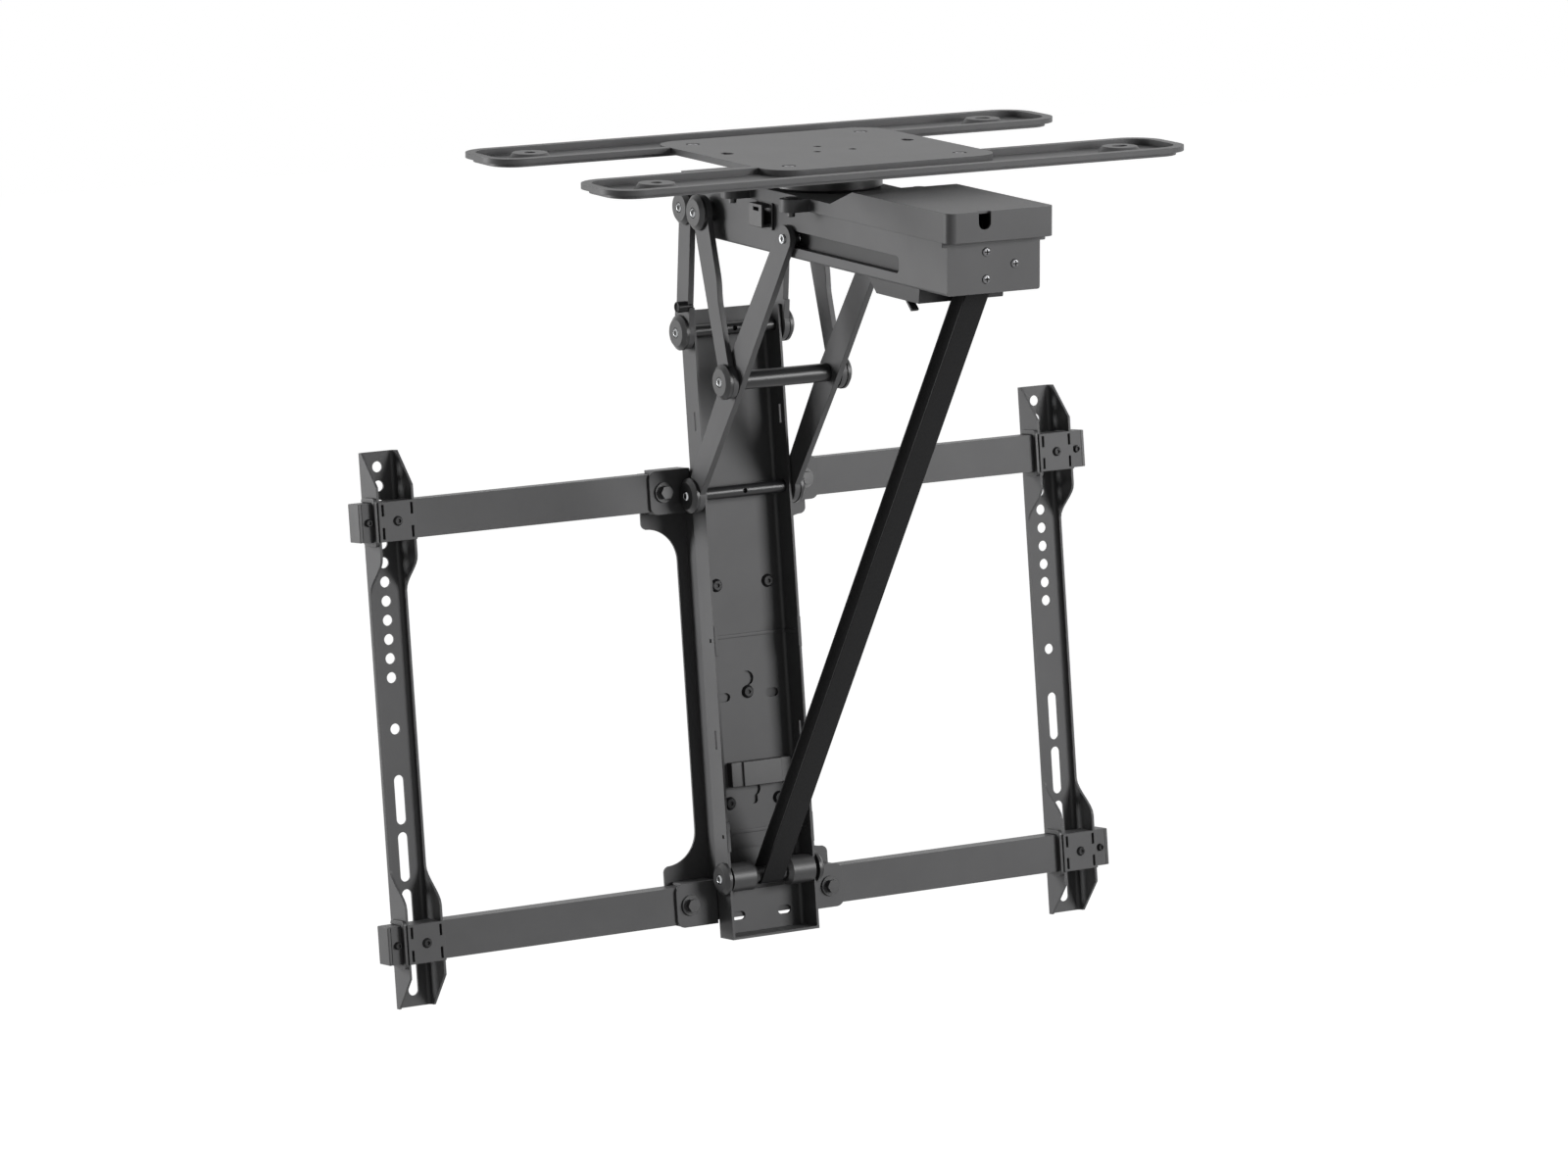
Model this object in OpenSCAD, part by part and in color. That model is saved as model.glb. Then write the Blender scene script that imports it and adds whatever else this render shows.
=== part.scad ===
// Motorised ceiling mount that folds a television up against the ceiling.
// X runs along the ceiling rails, +Y points to the television side, +Z is up.
// The origin is on the ceiling, at the centre of the ceiling plate.
// The pose is the one with the television down, just short of upright.

/* [Ceiling rails] */
// Length of a rail
rail_len = 507; // [460:1:600]
// Width of a rail over its rim
rail_w = 74; // [60:1:90]
// Sheet thickness of a rail
rail_t = 2; // [1.5:0.5:2.5]
// Distance between the two rails' centre lines
rail_gap = 203; // [196:1:210]
// Distance between the lag screw holes of one rail
lag_span = 406; // [380:1:430]
// Diameter of a lag screw hole
lag_hole_d = 9; // [7:0.5:11]

/* [Ceiling plate] */
// Side of the square ceiling plate
plate_side = 200; // [180:1:220]
// Thickness of the ceiling plate
plate_t = 5; // [4:0.5:6]
// Corner radius of the ceiling plate
plate_corner_r = 24; // [10:1:30]
// Distance between the plate's corner screws
plate_screw_span = 150; // [146:1:156]

/* [Beam] */
// Outer width of the beam's channel
beam_w = 80; // [76:1:84]
// Sheet thickness of the beam
beam_t = 2; // [1.5:0.5:2.5]
// Underside of the beam, below the ceiling
beam_drop = 80; // [79:0.5:84]
// Top of the beam's rear part, below the ceiling
beam_top_drop = 32.5; // [31:0.5:34]
// Reach of the beam's front end from the swivel axis
beam_front = 248; // [244:1:260]
// Reach of the beam's rear end from the swivel axis
beam_rear = 158; // [152:1:170]
// Top of the lid over the winch, below the ceiling
lid_drop = 17; // [16:0.5:19]
// Top of the lid under the swivel, below the ceiling
lid_low_drop = 29.5; // [29:0.5:31]
// Lower edge of the lid, below the ceiling
lid_edge_drop = 39.5; // [38:0.5:41]
// How far the lid stands out past the beam's walls
lid_over = 6; // [5:0.5:8]
// Reach of the lid behind the swivel axis
lid_rear = 57; // [50:1:60]
// Height of the slot for the rollers
slot_h = 13; // [12.8:0.1:14]
// Reach of the slot's front end from the swivel axis
slot_front = 178; // [176:1:190]

/* [Linkage] */
// Reach of the front links' upper pivot behind the swivel axis
front_pivot_y = 109.3; // [108:0.1:111]
// Reach of the rear links' upper pivot behind the swivel axis
rear_pivot_y = 142.2; // [141:0.1:144]
// Height of both upper pivots, below the ceiling
pivot_drop = 59; // [58:0.1:60]
// Length of a front link between its pivots
front_link_len = 134.6; // [134:0.1:135]
// Angle of a front link from straight down, towards the winch
front_link_angle = 17.7; // [17.4:0.1:18]
// Length of a lift arm from its middle pivot to its roller
arm_upper_len = 147.3; // [147:0.1:148]
// Length of a lift arm from its middle pivot to the column
arm_lower_len = 120.1; // [119.5:0.1:120.5]
// Angle of the arm's upper part above level
arm_upper_angle = 56; // [55.7:0.1:56.3]
// Angle of the arm's lower part below level
arm_lower_angle = 57.1; // [56.8:0.1:57.4]
// Thickness of every link plate
link_t = 5; // [4:0.5:5]
// Radius of the links' pivot ends
link_end_r = 13.5; // [12:0.5:14]
// Radius of the lift arm's roller end
arm_tip_r = 10.5; // [9:0.5:12]
// Diameter of the pivot pins and cross shafts
pin_d = 10; // [8:0.5:11]
// Diameter of the tube between the lift arms
cross_tube_d = 14.6; // [13:0.2:16]
// Diameter of a pivot cap
cap_d = 28; // [24:1:28]
// Thickness of a pivot cap
cap_t = 5.2; // [4:0.2:6]

/* [Column] */
// Lean of the column from upright
column_tilt = 6.9; // [6.6:0.1:7.2]
// Outer width of the column
column_w = 79; // [74:1:79]
// Reach of the column's flanges in front of its pivot line
column_front = 9.5; // [9:0.5:12]
// Reach of the column behind its pivot line
column_rear = 14.9; // [14:0.1:17]
// Sheet thickness of the column
column_t = 2; // [1.5:0.5:2.5]
// Reach of the column above its middle pivot
column_up = 145.5; // [143:0.5:155]
// Reach of the column below its middle pivot
column_down = 355.5; // [352:0.5:370]
// Height of the rear links' pivot above the middle pivot
top_pivot_up = 129.3; // [128.8:0.1:129.8]
// Depth of the belt's shaft below the middle pivot
pulley_down = 306.6; // [304:0.2:309]
// How far the belt's shaft stands forward of the pivot line
pulley_forward = 3; // [2:0.5:4]

/* [Crossbars] */
// Length of a crossbar
bar_len = 655; // [650:5:760]
// Height of a crossbar
bar_h = 30; // [28:1:32]
// Depth of a crossbar
bar_d = 18; // [16:1:18]
// Wall of a crossbar
bar_t = 2; // [1.5:0.5:2.5]
// Height of the upper crossbar above the middle pivot
bar_up = 3.8; // [2:0.2:6]
// Distance between the crossbars
bar_span = 330; // [325:1:334]

/* [Television brackets] */
// Distance between the television brackets
vesa_w = 600; // [400:10:600]
// Length of a bracket
bracket_len = 436; // [434:1:450]
// Width of a bracket
bracket_w = 32; // [30:1:34]
// Sheet thickness of a bracket
bracket_t = 2; // [1.5:0.5:2.5]
// Depth of the bracket where it grips a crossbar
bracket_deep = 30; // [29:0.5:31]
// Depth of the bracket between the crossbars
bracket_shallow = 7; // [6:0.5:10]
// Distance between neighbouring round holes
hole_pitch = 15; // [14:0.5:16]
// Width of the round holes and slots
vesa_hole_d = 8.6; // [7:0.2:9]

/* [Belt] */
// Width of the lift belt
belt_w = 20.4; // [18:0.2:22]
// Thickness of the lift belt
belt_t = 1.6; // [1.4:0.1:1.7]
// Radius of the sleeve that the belt goes round
sleeve_r = 6.1; // [6:0.1:6.6]
// Lean of the belt's strands from upright
belt_angle = 31.4; // [31.2:0.1:31.6]

/* [Hidden] */
$fn = 48;

// Overrun of every cut, clearances and fits
cut = 1;
gap = 0.3;
seat = 0.1;
run_fit = 0.05;
pin_r = pin_d / 2;
black = [0.09, 0.09, 0.095];
coat = [0.2, 0.2, 0.205];
steel = [0.62, 0.63, 0.65];
half = 0.5;

// Fasteners
screw_r = 3;
pan_head_r = 5.4;
pan_head_t = 2.6;
pan_top_share = 0.7;
small_head_r = 4;
small_head_t = 2.1;
socket_r = 1.7;
socket_deep = 1.4;
hex_r = 5.6;
hex_t = 5;
hex_flange_r = 8.2;
hex_flange_t = 1.6;
nut_r = 5.2;
nut_t = 4;

// Ceiling side
rail_z = -(plate_t + seat + rail_t);
rail_corner_r = 26;
rail_rim_w = 8;
rail_shift = 3.7;
rail_lip_h = 4;
boss_base_r = 17;
boss_top_r = 13.5;
boss_drop = 0.6;
lag_slot_len = 13;
keyhole_x = 80;
keyhole_y = 11.2;
keyhole_r = 5;
centre_hole_ring = 18.1;
centre_hole_shift = 5.2;
post_r = 44;
post_edge = 2;
stem_r = 15;
retainer_r = 21;
retainer_t = 3;
post_thread = 8;
post_low = -(lid_low_drop - gap);

// Swivel carrier inside the lid's low part
swivel_t = 4;
swivel_z = -(lid_low_drop + beam_t + seat);
ear_x = 56.5;
ear_y = 45.5;
ear_r = 9;
stud_head_r = 5;
stud_head_t = 0.8;

// Beam
half_w = beam_w / 2;
wall_in = half_w - beam_t;
wall_low_drop = lid_low_drop + beam_t + swivel_t + 2 * seat;
lid_w = beam_w + 2 * lid_over;
lid_front = beam_front + 2 * lid_over + seat;
lid_corner_r = 7;
lid_high_end = 119;
lid_low_start = 86;
notch_x = -15.1;
notch_w = 10.3;
notch_deep = 13.5;
shoulder_over = 4.6;
shoulder_h = 4;
slot_rear = 5;
slot_corner_r = 4;
exit_front = 238;
exit_rear = 203;
exit_w = belt_w + 5;
front_screw_places = [[-6.5, -49], [18.2, -59.3], [-6.5, -69.4]];
front_screw_r = 2.5;
front_head_r = 3.3;
front_head_t = 1.2;

// Control box under the beam
box_w = 73.6;
box_top_front = 203;
box_top_rear = 127;
box_low_front = 201.5;
box_low_rear = 139;
box_h = 11.5;
lever_x = -30;
lever_w = 6.4;
lever_t = 1.6;
lever_top_y = -173;
lever_reach = 11;
lever_drop = 9;
lever_eye_r = 3;

// Side clip for the cable
clip_y0 = 12;
clip_y1 = 35;
clip_z0 = -62;
clip_z1 = -42;
clip_out = 10;
clip_flange_t = 2;
clip_wall = 2.4;

// Winch
drum_y = -190;
drum_z = -48;
drum_core_r = 8;
coil_r = 10;
drum_flange_r = 27;
drum_flange_t = 2;
drum_w = belt_w + 2;
drum_shaft_r = 4;
frame_t = 3;
frame_in = drum_w / 2 + drum_flange_t + gap;
gearbox_x0 = frame_in + frame_t + seat;
gearbox_w = 14;
gearbox_y0 = -213;
gearbox_len = 46;
gearbox_h = 40;
motor_r = 12.5;
motor_nose_r = 5;
motor_nose_len = 6;
motor_len = 62;
motor_z = -42.5;
front_plate_x = 24;
front_plate_top = -42;
guide_along = 7;
anchor_along = 8;
run_up = 12;
guide_r = 3;

// Link layers, from the beam's wall outwards
link_in = half_w + 2 * gap;
link_out = link_in + link_t;
outer_in = link_out + 2 * gap;
outer_out = outer_in + link_t;
cap_share = 0.76;
cap_step_share = 0.45;
cap_hole_r = 4.2;
cap_hole_deep = 2;
button_r = 3.6;
link_waist = 18.6;
link_wide = 23.6;
front_link_wide = 23;
front_link_narrow = 17;
notch_start_share = 0.39;
notch_end_share = 0.56;
notch_lip = 3.4;
arm_mid_r = 13;
arm_lower_half = 9.3;
spacer_bush_r = 8;
tip_bolt_out = 1.6;
roller_in = 34.5;
track_in = 31.3;
track_t = 1.5;
track_end = 2;
axle_r = 4;
axle_head_r = 5.6;
axle_head_t = 1.2;
stop_y = -7;
stop_down = 79;
stop_r = 4.4;
stop_len = 9;

// Pivots as [y, z]
front_top = [front_pivot_y, -pivot_drop];
rear_top = [rear_pivot_y, -pivot_drop];
arm_mid = front_top + front_link_len * [-sin(front_link_angle), -cos(front_link_angle)];
arm_tip = arm_mid + arm_upper_len * [-cos(arm_upper_angle), sin(arm_upper_angle)];
arm_foot = arm_mid + arm_lower_len * [cos(arm_lower_angle), -sin(arm_lower_angle)];
column_dir = [sin(column_tilt), cos(column_tilt)];
column_back = [cos(column_tilt), -sin(column_tilt)];
rear_foot = arm_foot + top_pivot_up * column_dir;
pulley = arm_foot - pulley_down * column_dir - pulley_forward * column_back;
roller_r = slot_h / 2 - run_fit;

// Column, with y measured from the pivot line towards the television
column_bend_r = 4;
web_front = column_rear - column_t;
column_lip = 2;
lower_front = 4;
lower_top = -279;
window_top = -286;
window_bottom = -320;
window_w = 60;
flange_slot_w = 3;
flange_slot_len = 15;
flange_slots = [58.2, -195.5];
joint_z = [-116.2, -273];
square_hole = 3;
square_y = -3.6;
keyhole_head_r = 6;
upper_key_z = -151;
lower_key_z = -240;
key_drop = 9;
web_slot_x = 22;
web_slot_z = -164.5;
web_slot_w = 7;
web_slot_len = 12;
foot_slot_x = 21;
foot_slot_z = -340;
foot_hole_x = 34;
foot_hole_r = 2;
web_screws = [[24.4, -75], [-22.1, -74.5], [0, -161.8], [22.3, -249.5], [-22.4, -249.5]];
clip_block = [[-22.8, -236.3], [32.4, -216.6]];
clip_block_out = 9;
clip_step = 2;
clip_inset = 10;
strip_h = 3;
strip_t = 0.9;
tab_h = 24;
tab_in = 3.5;
spacer_r = 11.4;
spacer_in = 14;
spacer_chamfer = 3;
pulley_cap_d = 26;
set_screw_r = 2;
set_screw_up = 0.5;

// Spine behind the column
spine_t = 2;
spine_w = 70.8;
spine_front = column_rear + gap;
bar_front = column_rear + gap;
bar_back = bar_front + bar_d;
lip_w = 88.8;
ear_w = 150;
ear_drop = 15;
ear_corner_r = 5;
ear_arc_r = 27;
clamp_x = 64;
clamp_t = 2.4;
clamp_in = column_w / 2 + gap;
clamp_out = 76.5;
clamp_corner_r = 7;
bar_low = bar_up - bar_span;
end_cap_t = 3;
stop_inset = 5;
stop_head_r = 3.2;
stop_screw_x = bar_len / 2 - stop_inset;

// Brackets
bracket_back = 41.2;
bracket_up = bar_up + half * (bracket_len - bar_span);
web_holes = 12;
lone_hole = 205.3;
slot_len = 39;
slot_places = [273, 318, 363, 408];
top_hole_down = 12;
tip_len = 26;
wide_end = 81;
curve_len = 29;
curve_steps = 8;
saddle_t = 2;
saddle_h = 31;
saddle_hug = 3;
slit_w = 1.8;
slit_h = 9;
slit_z = 9;
slit_x = 12.5;
insert_t = 2.8;
insert_out = 19;
insert_r = 4;
insert_back = 34;
insert_front = 10.5;

// Belt
strand_off = sleeve_r + seat + belt_t / 2;
belt_dir = [-sin(belt_angle), cos(belt_angle)];
belt_top_z = -79.4;
belt_len = (belt_top_z - pulley[1]) / cos(belt_angle);
inner_gap = 0.6;

// Places children at a [y, z] point
module at(p) translate([0, p[0], p[1]]) children();

// Cone or cylinder along X between two places
module rod(r, x0, x1, r2 = 0)
    translate([x0, 0, 0]) rotate([0, 90, 0]) cylinder(r1 = r, r2 = r2 == 0 ? r : r2, h = x1 - x0);

// Copies children to the other side of the beam
module both() {
    children();
    mirror([1, 0, 0]) children();
}

// Extrudes an outline drawn in y and z between two places along X
module slab(x0, x1) translate([x0, 0, 0]) rotate([90, 0, 90]) linear_extrude(x1 - x0) children();

// Extrudes an outline drawn in x and z between two places along Y
module sheet(y0, y1) translate([0, y1, 0]) rotate([90, 0, 0]) linear_extrude(y1 - y0) children();

// Places children in the column's frame, whose origin is the middle pivot
module on_column() at(arm_foot) rotate([-column_tilt, 0, 0]) children();

// Box between two corners
module span(a, b) translate(a) cube(b - a);

// Rectangle with round corners, centred
module round_rect(w, h, r) {
    square([w, h - 2 * r], center = true);
    square([w - 2 * r, h], center = true);
    for (x = [-1, 1], y = [-1, 1]) translate([x * (w / 2 - r), y * (h / 2 - r)]) circle(r);
}

// Slot with round ends, centred, long in the outline's first direction
module obround(len, w) {
    square([len - w, w], center = true);
    for (s = [-1, 1]) translate([s * (len - w) / 2, 0]) circle(w / 2);
}

// Outline of a straight bar whose half widths at its two points are ra and rb
module taper_bar(a, b, ra, rb) {
    u = (b - a) / norm(b - a);
    n = [-u[1], u[0]];
    polygon([a - ra * n, b - rb * n, b + rb * n, a + ra * n]);
}

// Smooth step from 0 to 1
function ease(t) = t * t * (3 - 2 * t);

// Channel section, open towards negative y, with bent corners and its back at y = back
module channel(w, front, back, t, r) difference() {
    channel_solid(w, front, back, r);
    channel_solid(w - 2 * t, front - cut, back - t, r - t / 2);
}

module channel_solid(w, front, back, r) {
    translate([-w / 2, front]) square([w, back - r - front]);
    translate([r - w / 2, front]) square([w - 2 * r, back - front]);
    for (x = [-1, 1]) translate([x * (w / 2 - r), back - r]) circle(r);
}

// Screw with its head towards +Z and a socket in the head
module pan_screw(r, head_r, head_t, len) difference() {
    union() {
        cylinder(r1 = head_r, r2 = pan_top_share * head_r, h = head_t);
        translate([0, 0, -len]) cylinder(r = r, h = len + seat);
    }
    translate([0, 0, head_t - socket_deep]) cylinder(r = socket_r, h = socket_deep + cut, $fn = 6);
}

// Flanged hexagon bolt with its head towards +Z
module hex_bolt(r, len) {
    cylinder(r = hex_flange_r, h = hex_flange_t);
    translate([0, 0, hex_flange_t - seat]) cylinder(r = hex_r, h = hex_t, $fn = 6);
    translate([0, 0, -len]) cylinder(r = r, h = len + seat);
}

// Chamfered cap with a screw in its recess, standing out to the left from x_in
module pivot_cap(x_in, d = cap_d) {
    step = cap_step_share * cap_t;
    difference() {
        union() {
            rod(d / 2, -x_in - step, -x_in);
            rod(cap_share * d / 2, -x_in - cap_t, -x_in - step + seat / 2, d / 2);
        }
        rod(cap_hole_r, -x_in - cap_t - cut, -x_in - cap_t + cap_hole_deep);
    }
    difference() {
        rod(button_r, -x_in - cap_t - seat, -x_in - cap_t + cap_hole_deep + seat);
        rod(socket_r, -x_in - cap_t - cut, -x_in - cap_t + socket_deep, 0);
    }
}

// Ceiling rails and plate

module rail_outline(side, inset) translate([side * rail_shift, 0])
    round_rect(rail_len - 2 * inset, rail_w - 2 * inset, rail_corner_r - inset);

// Pan with a flat rim and two raised lag screw bosses, open to the ceiling plate
module rail(side) {
    floor_z = rail_z + rail_t;
    color(coat) translate([0, side * rail_gap / 2, 0]) difference() {
        union() {
            difference() {
                union() {
                    translate([0, 0, -rail_lip_h]) linear_extrude(rail_lip_h) rail_outline(side, 0);
                    translate([0, 0, rail_z]) linear_extrude(-rail_z) rail_outline(side, rail_rim_w - rail_t);
                }
                translate([0, 0, floor_z]) linear_extrude(-rail_z) rail_outline(side, rail_rim_w);
                translate([-plate_side / 2 - gap, side < 0 ? 0 : -rail_w / 2 - cut, floor_z])
                    cube([plate_side + 2 * gap, rail_w / 2 + cut, -rail_z]);
            }
            for (x = [-1, 1]) translate([x * lag_span / 2, 0, floor_z - seat])
                cylinder(r1 = boss_base_r, r2 = boss_top_r, h = -floor_z - boss_drop + seat);
        }
        translate([-lag_span / 2, 0, rail_z - cut]) cylinder(d = lag_hole_d, h = -rail_z + 2 * cut);
        translate([lag_span / 2, 0, rail_z - cut]) linear_extrude(-rail_z + 2 * cut)
            obround(lag_slot_len, lag_hole_d);
        for (x = [-1, 1]) translate([x * lag_span / 2, 0, rail_z - rail_t])
            cylinder(r1 = boss_base_r, r2 = boss_top_r - rail_t, h = -rail_z - boss_drop);
        for (x = [-1, 1])
            translate([x * plate_screw_span / 2, side * (plate_screw_span - rail_gap) / 2, rail_z - cut])
                cylinder(r = screw_r + run_fit, h = -rail_z);
    }
}

module rail_front() rail(-1);
module rail_rear() rail(1);

// Copies children to the three screws that hold the swivel to the ceiling plate
module centre_holes() translate([0, -centre_hole_shift, 0])
    for (a = [90, 210, 330]) rotate(a) translate([centre_hole_ring, 0, 0]) children();

module ceiling_plate() color(coat) translate([0, 0, -plate_t]) difference() {
    linear_extrude(plate_t) difference() {
        round_rect(plate_side, plate_side, plate_corner_r);
        for (x = [-1, 1], y = [-1, 1]) translate([x, y] * plate_screw_span / 2) circle(screw_r + run_fit);
        for (x = [-1, 1]) translate([x * keyhole_x, keyhole_y]) {
            circle(keyhole_r);
            translate([0, keyhole_r]) circle(half * keyhole_r);
        }
        centre_holes() circle(screw_r + run_fit);
    }
    for (x = [-1, 1], y = [-1, 1])
        translate([x * plate_screw_span / 2, y * plate_screw_span / 2, plate_t - pan_head_t - seat])
            cylinder(r = pan_head_r + seat, h = plate_t);
}

module plate_screws() color(steel)
    for (x = [-1, 1], y = [-1, 1])
        translate([x * plate_screw_span / 2, y * plate_screw_span / 2, -pan_head_t])
            pan_screw(screw_r, pan_head_r, pan_head_t - seat, -rail_z - pan_head_t);

// Drum of the swivel: a broad disc under the ceiling plate, a stem and a retaining ring
module swivel_post() color(coat) {
    stem_low = swivel_z - swivel_t - gap - retainer_t;
    difference() {
        union() {
            translate([0, 0, post_low]) cylinder(r1 = post_r - post_edge, r2 = post_r, h = post_edge);
            translate([0, 0, post_low + post_edge - seat])
                cylinder(r = post_r, h = -plate_t - post_low - post_edge);
            translate([0, 0, stem_low]) cylinder(r = stem_r, h = post_low - stem_low + seat);
            translate([0, 0, stem_low]) cylinder(r = retainer_r, h = retainer_t);
        }
        translate([0, 0, -plate_t - post_thread]) centre_holes() cylinder(r = screw_r, h = post_thread + cut);
    }
}

// Beam

// Outline of the swivel carrier and of the lid's ears, grown by a margin
module ear_outline(grow) {
    square([2 * (half_w + lid_over) - 2 * beam_t + 2 * grow, 2 * ear_y + 2 * grow], center = true);
    for (y = [-1, 1]) translate([0, y * ear_y]) {
        square([2 * ear_x, 2 * (ear_r + grow)], center = true);
        for (x = [-1, 1]) translate([x * ear_x, 0]) circle(ear_r + grow);
    }
}

module swivel_plate() color(coat) translate([0, 0, swivel_z - swivel_t]) difference() {
    linear_extrude(swivel_t) difference() {
        ear_outline(-beam_t - seat);
        for (x = [-1, 1], y = [-1, 1]) translate([x * ear_x, y * ear_y]) circle(screw_r + run_fit);
    }
    translate([0, 0, -cut]) cylinder(r = stem_r + run_fit, h = swivel_t + 2 * cut);
}

module swivel_bolts() color(steel)
    for (x = [-1, 1], y = [-1, 1]) translate([x * ear_x, y * ear_y, 0]) {
        translate([0, 0, -lid_low_drop + seat]) cylinder(r = stud_head_r, h = stud_head_t);
        translate([0, 0, -lid_edge_drop - nut_t])
            cylinder(r = screw_r, h = lid_edge_drop - lid_low_drop + nut_t + 2 * seat);
        translate([0, 0, swivel_z - swivel_t - seat - nut_t]) cylinder(r = nut_r, h = nut_t, $fn = 6);
    }

// Side view of the lid: high over the winch, a ramp, and low under the swivel
module lid_side(inset) polygon([
    [lid_rear - inset, -lid_edge_drop - (inset > 0 ? cut : 0)],
    [lid_rear - inset, -lid_low_drop - inset],
    [-lid_low_start, -lid_low_drop - inset],
    [-lid_high_end, -lid_drop - inset],
    [-lid_front + inset, -lid_drop - inset],
    [-lid_front + inset, -lid_edge_drop - (inset > 0 ? cut : 0)]
]);

module lid_plan(inset) translate([0, (lid_rear - lid_front) / 2])
    round_rect(lid_w - 2 * inset, lid_rear + lid_front - 2 * inset, lid_corner_r - inset);

module beam_lid() color(coat) difference() {
    union() {
        difference() {
            intersection() {
                slab(-lid_w / 2, lid_w / 2) lid_side(0);
                translate([0, 0, -lid_edge_drop]) linear_extrude(lid_edge_drop) lid_plan(0);
            }
            intersection() {
                slab(-lid_w / 2, lid_w / 2) lid_side(beam_t);
                translate([0, 0, -lid_edge_drop - cut]) linear_extrude(lid_edge_drop) lid_plan(beam_t);
            }
        }
        translate([0, 0, -lid_edge_drop]) linear_extrude(lid_edge_drop - lid_low_drop) lid_ears(0);
    }
    translate([0, 0, -lid_edge_drop - cut]) linear_extrude(lid_edge_drop - lid_low_drop - beam_t + cut) {
        lid_ears(-beam_t);
        square([lid_w - 2 * beam_t, 2 * (ear_y + ear_r)], center = true);
    }
    span([-half_w - gap, lid_rear - beam_t - cut, -lid_edge_drop - cut],
         [half_w + gap, lid_rear + cut, seat - wall_low_drop]);
    translate([0, 0, -lid_low_drop - cut - beam_t]) cylinder(r = stem_r + cut, h = beam_t + 2 * cut);
    for (x = [-1, 1], y = [-1, 1]) translate([x * ear_x, y * ear_y, -lid_low_drop - beam_t - cut])
        cylinder(r = screw_r + run_fit, h = beam_t + 2 * cut);
    translate([notch_x, 0, 0]) sheet(-lid_front - cut, -lid_front + beam_t + cut) {
        translate([-notch_w / 2, notch_w / 2 - lid_drop - notch_deep]) square([notch_w, notch_deep]);
        translate([0, notch_w / 2 - lid_drop - notch_deep]) circle(notch_w / 2);
    }
}

module lid_ears(grow) for (y = [-1, 1]) translate([0, y * ear_y]) {
    square([2 * ear_x, 2 * (ear_r + grow)], center = true);
    for (x = [-1, 1]) translate([x * ear_x, 0]) circle(ear_r + grow);
}

// Side view of the beam's walls
module wall_side() polygon([
    [beam_rear, -beam_drop], [beam_rear, -beam_top_drop],
    [lid_rear + seat, -beam_top_drop], [lid_rear + seat, -wall_low_drop],
    [-beam_front, -wall_low_drop], [-beam_front, -beam_drop]
]);

// Outline of the beam seen from its end, with bent lower edges
module beam_section() {
    translate([-half_w, beam_t - beam_drop]) square([beam_w, beam_drop]);
    translate([-wall_in, -beam_drop]) square([2 * wall_in, beam_drop]);
    for (x = [-1, 1]) translate([x * wall_in, beam_t - beam_drop]) circle(beam_t);
}

// Folded box with the roller slots, the belt's opening and a notched front end
module beam_channel() color(coat) difference() {
    union() {
        difference() {
            intersection() {
                slab(-half_w, half_w) wall_side();
                sheet(-beam_front, beam_rear) beam_section();
            }
            span([-wall_in, -beam_front + beam_t, beam_t - beam_drop], [wall_in, lid_rear + cut, 0]);
            span([-wall_in, lid_rear, beam_t - beam_drop],
                 [wall_in, beam_rear - beam_t, -beam_top_drop - beam_t]);
        }
        sheet(-beam_front, beam_t - beam_front) translate([0, -lid_edge_drop - seat - shoulder_h / 2])
            round_rect(beam_w + 2 * shoulder_over, shoulder_h, half * beam_t);
    }
    both() slab(-half_w - cut, -wall_in + cut) translate([-(slot_front + slot_rear) / 2, arm_tip[1]])
        round_rect(slot_front - slot_rear, slot_h, slot_corner_r);
    span([-exit_w / 2, -exit_front, -beam_drop - cut], [exit_w / 2, -exit_rear, beam_t - beam_drop + cut]);
    for (p = front_screw_places) translate([p[0], -beam_front - cut, p[1]]) rotate([-90, 0, 0])
        cylinder(r = front_screw_r + run_fit, h = beam_t + 2 * cut);
    for (p = [front_top, rear_top]) at(p) rod(pin_r + run_fit, -half_w - cut, half_w + cut);
}

module front_screws() color(steel)
    for (p = front_screw_places) translate([p[0], -beam_front - seat, p[1]]) rotate([90, 0, 0])
        pan_screw(front_screw_r, front_head_r, front_head_t, beam_t + frame_t);

// Hooded guide for the cable on the beam's left wall
module side_clip() color(black) difference() {
    union() {
        span([-half_w - clip_flange_t - seat, clip_y0 - clip_flange_t, clip_z0],
             [-half_w - seat, clip_y1, clip_z1 + clip_flange_t]);
        span([-half_w - clip_out, clip_y0, clip_z0 + clip_wall],
             [-half_w - clip_flange_t, clip_y1 - clip_wall, clip_z1]);
    }
    span([-half_w - clip_out + clip_wall, clip_y0 - clip_flange_t - cut, clip_z0 + 2 * clip_wall],
         [-half_w - clip_flange_t - seat, clip_y1 - 2 * clip_wall, clip_z1 - clip_wall]);
    span([-half_w - clip_out - cut, clip_y0 + 2 * clip_wall, clip_z1 - 2 * clip_wall],
         [-half_w - clip_out + clip_wall + cut, clip_y1 - 4 * clip_wall, clip_z1 - clip_wall]);
}

module control_side(inset) polygon([
    [-box_low_front + inset, -beam_drop - box_h + inset], [-box_low_rear - inset, -beam_drop - box_h + inset],
    [-box_top_rear - inset, -beam_drop - seat], [-box_top_front + inset, -beam_drop - seat]
]);

module control_box() color(coat) difference() {
    slab(-box_w / 2, box_w / 2) control_side(0);
    slab(beam_t - box_w / 2, box_w / 2 - beam_t) control_side(beam_t);
    span([lever_x - lever_w / 2 - gap, lever_top_y - lever_reach - lever_eye_r, -beam_drop - box_h - cut],
         [lever_x + lever_w / 2 + gap, lever_top_y + lever_eye_r + gap, -beam_drop - box_h + 2 * beam_t]);
}

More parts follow.
